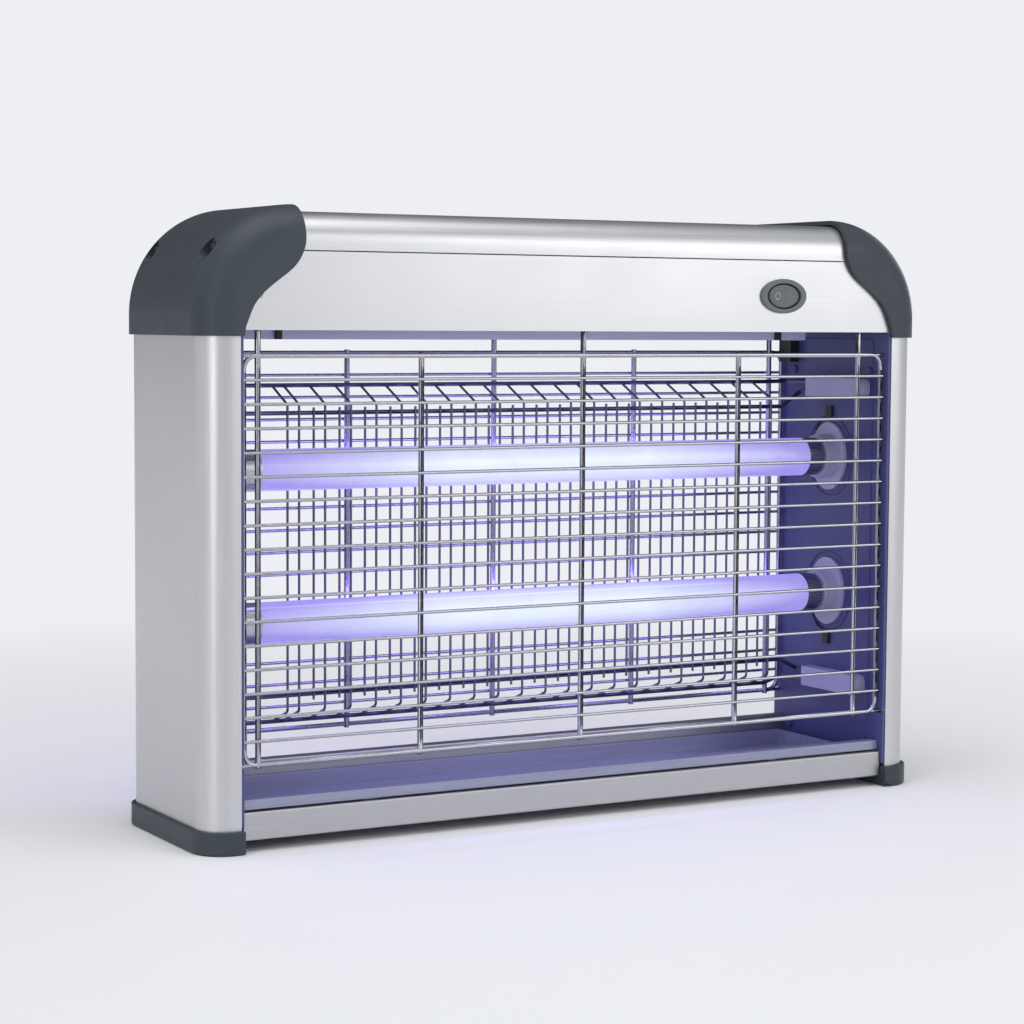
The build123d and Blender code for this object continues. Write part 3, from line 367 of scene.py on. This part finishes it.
def slab(name, outline, start, depth, edge, material, body):
    """Solid plate: a loop of (Y, Z) points, extruded along X from start by depth, edges rounded."""
    bm = bmesh.new()
    face = bm.faces.new([bm.verts.new((start, y, z)) for y, z in outline])
    made = bmesh.ops.extrude_face_region(bm, geom=[face])
    moved = [item for item in made["geom"] if isinstance(item, bmesh.types.BMVert)]
    bmesh.ops.translate(bm, verts=moved, vec=Vector((depth, 0, 0)))
    bmesh.ops.recalc_face_normals(bm, faces=bm.faces)
    rim = [e for e in bm.edges if e.verts[0] in moved and e.verts[1] in moved]
    bmesh.ops.bevel(bm, geom=rim, offset=edge, segments=3, profile=0.5, affect="EDGES")
    piece = mesh_piece(name, bm, material, body)
    weighted = piece.modifiers.new("weighted", "WEIGHTED_NORMAL")
    weighted.keep_sharp = False


def rounded(a0, b0, a1, b1, radius, steps=6):
    """Outline of a rectangle with round corners."""
    points = []
    for centre_a, centre_b, turn in ((a1 - radius, b1 - radius, 0), (a0 + radius, b1 - radius, 90),
                                     (a0 + radius, b0 + radius, 180), (a1 - radius, b0 + radius, 270)):
        for i in range(steps + 1):
            angle = math.radians(turn + 90 * i / steps)
            points.append((centre_a + radius * math.cos(angle), centre_b + radius * math.sin(angle)))
    return points


def wire(name, points, radius, material, body):
    """Thin round lead through the points."""
    curve = bpy.data.curves.new(name, "CURVE")
    curve.dimensions = "3D"
    curve.bevel_depth = radius
    curve.bevel_resolution = 4
    curve.resolution_u = 12
    curve.use_fill_caps = True
    spline = curve.splines.new("NURBS")
    spline.points.add(len(points) - 1)
    for control, point in zip(spline.points, points):
        control.co = (*point, 1)
    spline.order_u = 3
    spline.use_endpoint_u = True
    piece = bpy.data.objects.new(name, curve)
    bpy.context.scene.collection.objects.link(piece)
    curve.materials.append(material)
    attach(piece, body)


# Rocker: saddle-shaped button with a faint ridge, and its two marks; u runs along X, v along Z
ROCKER_TILT = math.radians(6.0)
ROCKER_HALF_W = 0.0126
ROCKER_HALF_H = 0.0077
ROCKER_FRONT = 0.0034
ROCKER_BACK = -0.0040
ROCKER_SADDLE = 0.00045
ROCKER_RIDGE = 0.00012
ROCKER_RIDGE_SHARPNESS = 22
ROCKER_STEPS = 96
ROCKER_FLAT_RINGS = 14
ROCKER_RIM_RINGS = ((0.955, 0.00004), (0.98, 0.0002), (0.995, 0.0005), (1.0, 0.0009))
MARK_PROUD = 0.00006
MARK_DEPTH = 0.00010
OFF_MARK_U = -0.0058
OFF_MARK_INNER_R, OFF_MARK_OUTER_R = 0.0019, 0.0024
ON_MARK_START_U, ON_MARK_END_U = 0.0034, 0.0092
ON_MARK_HALF_V = 0.00026
rocker_joint = next(joint for joint in frame["joints"] if joint["name"] == "rocker_tilt")
tilt = Matrix.Translation(Vector(rocker_joint["pos_m"])) @ Matrix.Rotation(ROCKER_TILT, 4, "Z")


def rocker_depth(u, rim):
    """How far the button's face stands before the pivot: a shallow saddle, rounded off at the rim."""
    share = abs(u) / ROCKER_HALF_W
    saddle = ROCKER_SADDLE * share ** 2
    ridge = ROCKER_RIDGE * math.exp(-(share * ROCKER_RIDGE_SHARPNESS) ** 2)
    return ROCKER_FRONT - ROCKER_SADDLE + saddle + ridge - rim


def rocker_button():
    """Oval button built from rings about its hub, closed by a flat back."""
    bm = bmesh.new()
    rings = [(r / ROCKER_FLAT_RINGS, 0.0) for r in range(1, ROCKER_FLAT_RINGS)]
    rings += ROCKER_RIM_RINGS
    loops = []
    for share, rim in rings:
        loop = []
        for i in range(ROCKER_STEPS):
            angle = 2 * math.pi * i / ROCKER_STEPS
            u = ROCKER_HALF_W * share * math.cos(angle)
            v = ROCKER_HALF_H * share * math.sin(angle)
            loop.append(bm.verts.new((u, -rocker_depth(u, rim), v)))
        loops.append(loop)
    loops.append([bm.verts.new((v.co.x, -ROCKER_BACK, v.co.z)) for v in loops[-1]])
    hub = bm.verts.new((0, -rocker_depth(0, 0), 0))
    for i in range(ROCKER_STEPS):
        bm.faces.new((hub, loops[0][i], loops[0][(i + 1) % ROCKER_STEPS]))
    for inner, outer in zip(loops, loops[1:]):
        for i in range(ROCKER_STEPS):
            j = (i + 1) % ROCKER_STEPS
            bm.faces.new((inner[i], outer[i], outer[j], inner[j]))
    bm.faces.new(loops[-1])
    bm.transform(tilt)
    button = mesh_piece("rocker_button", bm, MATERIALS["switch_plastic"], "rocker")
    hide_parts("switch_rocker")


def rocker_mark(name, outline):
    """Shallow print on the button: outline is a ribbon of (u, v) point pairs, closed if it has over two."""
    bm = bmesh.new()
    pairs = []
    for ends in outline:
        pairs.append([bm.verts.new((u, -rocker_depth(u, -MARK_PROUD), v)) for u, v in ends])
    joined = zip(pairs, pairs[1:] + pairs[:1]) if len(pairs) > 2 else [pairs]
    for first, second in joined:
        bm.faces.new((first[0], first[1], second[1], second[0]))
    bmesh.ops.solidify(bm, geom=bm.faces, thickness=MARK_DEPTH)
    bm.transform(tilt)
    mesh_piece(name, bm, marking, "rocker")


def ring_pairs(centre_u, inner_r, outer_r, steps=40):
    pairs = []
    for i in range(steps):
        angle = 2 * math.pi * i / steps
        pairs.append([(centre_u + r * math.cos(angle), r * math.sin(angle)) for r in (inner_r, outer_r)])
    return pairs


def ribbon_pairs(start_u, end_u, half_v):
    return [[(start_u, -half_v), (start_u, half_v)], [(end_u, -half_v), (end_u, half_v)]]


rocker_button()
rocker_mark("rocker_off_mark", ring_pairs(OFF_MARK_U, OFF_MARK_INNER_R, OFF_MARK_OUTER_R))
rocker_mark("rocker_on_mark", ribbon_pairs(ON_MARK_START_U, ON_MARK_END_U, ON_MARK_HALF_V))

# Side liners: raised field, rims round the lampholders, and the leads that enter there
FIELD_PROUD = 0.0005
FIELD_SEAT = 0.0002          # how far the field reaches into the liner
FIELD_EDGE = 0.0004
FIELD_FRONT_Y, FIELD_REAR_Y = -0.047, 0.039
FIELD_LOW_MARGIN, FIELD_HIGH_MARGIN = 0.026, 0.004
FIELD_CORNER_R = 0.004
RIM_STEPS = 72
RIM_SQUEEZE = 0.92           # width of the rim over its height
RIM_SEAT = 0.0001
RIM_SECTION = ((0.0268, 0.0), (0.0272, 0.0007), (0.0280, 0.0007), (0.0284, 0.0))     # radius, lift
LEAD_R = 0.0006
LEAD_START = 0.0275          # from the lamp's axis
LEAD_PATH = ((0.0014, 0.0030, 0.0), (0.0018, 0.0075, 0.0005),      # off the liner, Y, back to the lamp
             (0.0018, 0.0125, 0.0040), (0.0014, 0.0150, 0.0100))
liner_low, liner_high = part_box("right_side_liner")
liner_face = liner_low.x


def middle_height(node):
    low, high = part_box(node)
    return (low.z + high.z) / 2


lamp_heights = [middle_height(f"{level}_lamp_tube") for level in ("upper", "lower")]


def arch_rim(name, side, height):
    """Moulded round rim in the liner about a lampholder."""
    bm = bmesh.new()
    loops = []
    for i in range(RIM_STEPS):
        angle = 2 * math.pi * i / RIM_STEPS
        loops.append([bm.verts.new((side * (liner_face - FIELD_PROUD + RIM_SEAT - lift),
                                    r * math.cos(angle) * RIM_SQUEEZE, height + r * math.sin(angle)))
                      for r, lift in RIM_SECTION])
    for i in range(RIM_STEPS):
        here, there = loops[i], loops[(i + 1) % RIM_STEPS]
        for k in range(4):
            bm.faces.new((here[k], here[(k + 1) % 4], there[(k + 1) % 4], there[k]))
    mesh_piece(name, bm, MATERIALS["liner_plastic"], "housing")


for side_name, side in (("right", 1), ("left", -1)):
    field = rounded(FIELD_FRONT_Y, liner_low.z + FIELD_LOW_MARGIN,
                    FIELD_REAR_Y, liner_high.z - FIELD_HIGH_MARGIN, FIELD_CORNER_R)
    slab(f"{side_name}_liner_field", field,
         side * (liner_face + FIELD_SEAT), -side * (FIELD_PROUD + FIELD_SEAT), FIELD_EDGE,
         MATERIALS["liner_plastic"], "housing")
    for level, height, way in zip(("upper", "lower"), lamp_heights, (1, -1)):
        arch_rim(f"{level}_{side_name}_holder_rim", side, height)
        start_z = height + way * LEAD_START
        wire(f"{level}_{side_name}_holder_lead",
             [(side * (liner_face - off), y, start_z - way * back) for off, y, back in LEAD_PATH],
             LEAD_R, MATERIALS["lead_rubber"], "housing")


# ---------------------------------------------------------------- stage, light, camera
def stage_floor():
    """Wide pale floor that turns into the backdrop's plain tone further out."""
    mesh = bpy.data.meshes.new("floor")
    bm = bmesh.new()
    bmesh.ops.create_circle(bm, cap_ends=True, segments=96, radius=FLOOR_RADIUS)
    bm.to_mesh(mesh)
    bm.free()
    floor = bpy.data.objects.new("floor", mesh)
    bpy.context.scene.collection.objects.link(floor)
    n = Nodes("floor")
    n.shader.inputs["Base Color"].default_value = (*FLOOR_TONE, 1)
    n.shader.inputs["Roughness"].default_value = 0.55
    coords = n.add("ShaderNodeTexCoord")
    length = n.add("ShaderNodeVectorMath", operation="LENGTH")
    n.link(coords.outputs["Object"], length.inputs[0])
    far = n.spread(length.outputs["Value"], 0.0, 1.0, FLOOR_FADE_FROM, FLOOR_FADE_TO)
    glow = n.add("ShaderNodeEmission")
    glow.inputs["Color"].default_value = (*BACKDROP, 1)
    mix = n.add("ShaderNodeMixShader")
    n.link(far, mix.inputs["Fac"])
    n.link(n.shader.outputs["BSDF"], mix.inputs[1])
    n.link(glow.outputs["Emission"], mix.inputs[2])
    n.link(mix.outputs["Shader"], n.tree.nodes["Material Output"].inputs["Surface"])
    mesh.materials.append(n.material)


def world_light(strength):
    """The pale backdrop to the eye; to everything else a dimmer studio, darkest behind the object."""
    world = bpy.data.worlds.new("studio")
    world.use_nodes = True
    tree = world.node_tree
    fill = tree.nodes["Background"]
    fill.inputs["Color"].default_value = (*STUDIO_TONE, 1)
    coords = tree.nodes.new("ShaderNodeTexCoord")
    toward = tree.nodes.new("ShaderNodeVectorMath")
    toward.operation = "DOT_PRODUCT"
    toward.inputs[1].default_value = DARK_SIDE
    tree.links.new(coords.outputs["Generated"], toward.inputs[0])
    dim = tree.nodes.new("ShaderNodeMapRange")
    dim.inputs["From Min"].default_value = DARK_FROM
    dim.inputs["From Max"].default_value = DARK_TO
    dim.inputs["To Min"].default_value = strength
    dim.inputs["To Max"].default_value = strength * DARK_SHARE
    tree.links.new(toward.outputs["Value"], dim.inputs["Value"])
    tree.links.new(dim.outputs["Result"], fill.inputs["Strength"])
    seen = tree.nodes.new("ShaderNodeBackground")
    seen.inputs["Color"].default_value = (*BACKDROP, 1)
    path = tree.nodes.new("ShaderNodeLightPath")
    mix = tree.nodes.new("ShaderNodeMixShader")
    tree.links.new(path.outputs["Is Camera Ray"], mix.inputs["Fac"])
    tree.links.new(fill.outputs["Background"], mix.inputs[1])
    tree.links.new(seen.outputs["Background"], mix.inputs[2])
    tree.links.new(mix.outputs["Shader"], tree.nodes["World Output"].inputs["Surface"])
    bpy.context.scene.world = world


def softbox(name, place, aim, width, height, watts, colour=(1, 1, 1)):
    """Rectangular area light at place, turned to aim."""
    light = bpy.data.lights.new(name, "AREA")
    light.shape = "RECTANGLE"
    light.size = width
    light.size_y = height
    light.energy = watts
    light.color = colour
    lamp = bpy.data.objects.new(name, light)
    bpy.context.scene.collection.objects.link(lamp)
    lamp.location = place
    lamp.rotation_mode = "QUATERNION"
    lamp.rotation_quaternion = (Vector(aim) - Vector(place)).to_track_quat("-Z", "Y")
    return lamp


def tube_glow(name, height, aim, watts):
    """Violet light that a tube throws one way inside the chamber."""
    start = (lamp_middle_x, 0.0, height)
    strip = softbox(name, start, aim, GLOW_SPAN * lamp_half, GLOW_WIDTH, watts, UV_GLOW)
    strip.visible_camera = False
    offset = (Vector(aim) - strip.location).normalized() * (lamp_high.z - lamp_low.z) * GLOW_LIFT
    strip.location = strip.location + offset


def photo_camera():
    """Camera of the photograph, from its yaw, pitch and roll."""
    forward = Vector((math.sin(CAMERA_YAW) * math.cos(CAMERA_PITCH),
                      math.cos(CAMERA_YAW) * math.cos(CAMERA_PITCH), -math.sin(CAMERA_PITCH)))
    level = Vector((math.cos(CAMERA_YAW), -math.sin(CAMERA_YAW), 0))
    up = level.cross(forward)
    right = math.cos(CAMERA_ROLL) * level + math.sin(CAMERA_ROLL) * up
    up = math.cos(CAMERA_ROLL) * up - math.sin(CAMERA_ROLL) * level
    data = bpy.data.cameras.new("camera")
    data.lens = CAMERA_LENS
    data.sensor_width = 36.0
    data.clip_start = 0.02
    camera = bpy.data.objects.new("camera", data)
    bpy.context.scene.collection.objects.link(camera)
    turn = Matrix((right, up, -forward)).transposed()
    camera.matrix_world = Matrix.Translation(CAMERA_AT) @ turn.to_4x4()
    bpy.context.scene.camera = camera


stage_floor()
world_light(STUDIO_STRENGTH)
for box in SOFTBOXES:
    softbox(*box)
for number, height in enumerate(lamp_heights):
    tube_glow(f"glow_down_{number}", height, (lamp_middle_x, GLOW_DOWN_Y, 0.0), GLOW_DOWN_WATTS)
    tube_glow(f"glow_back_{number}", height, (lamp_middle_x, GLOW_BACK_Y, height), GLOW_BACK_WATTS)
photo_camera()
bpy.context.scene.view_settings.view_transform = "Standard"
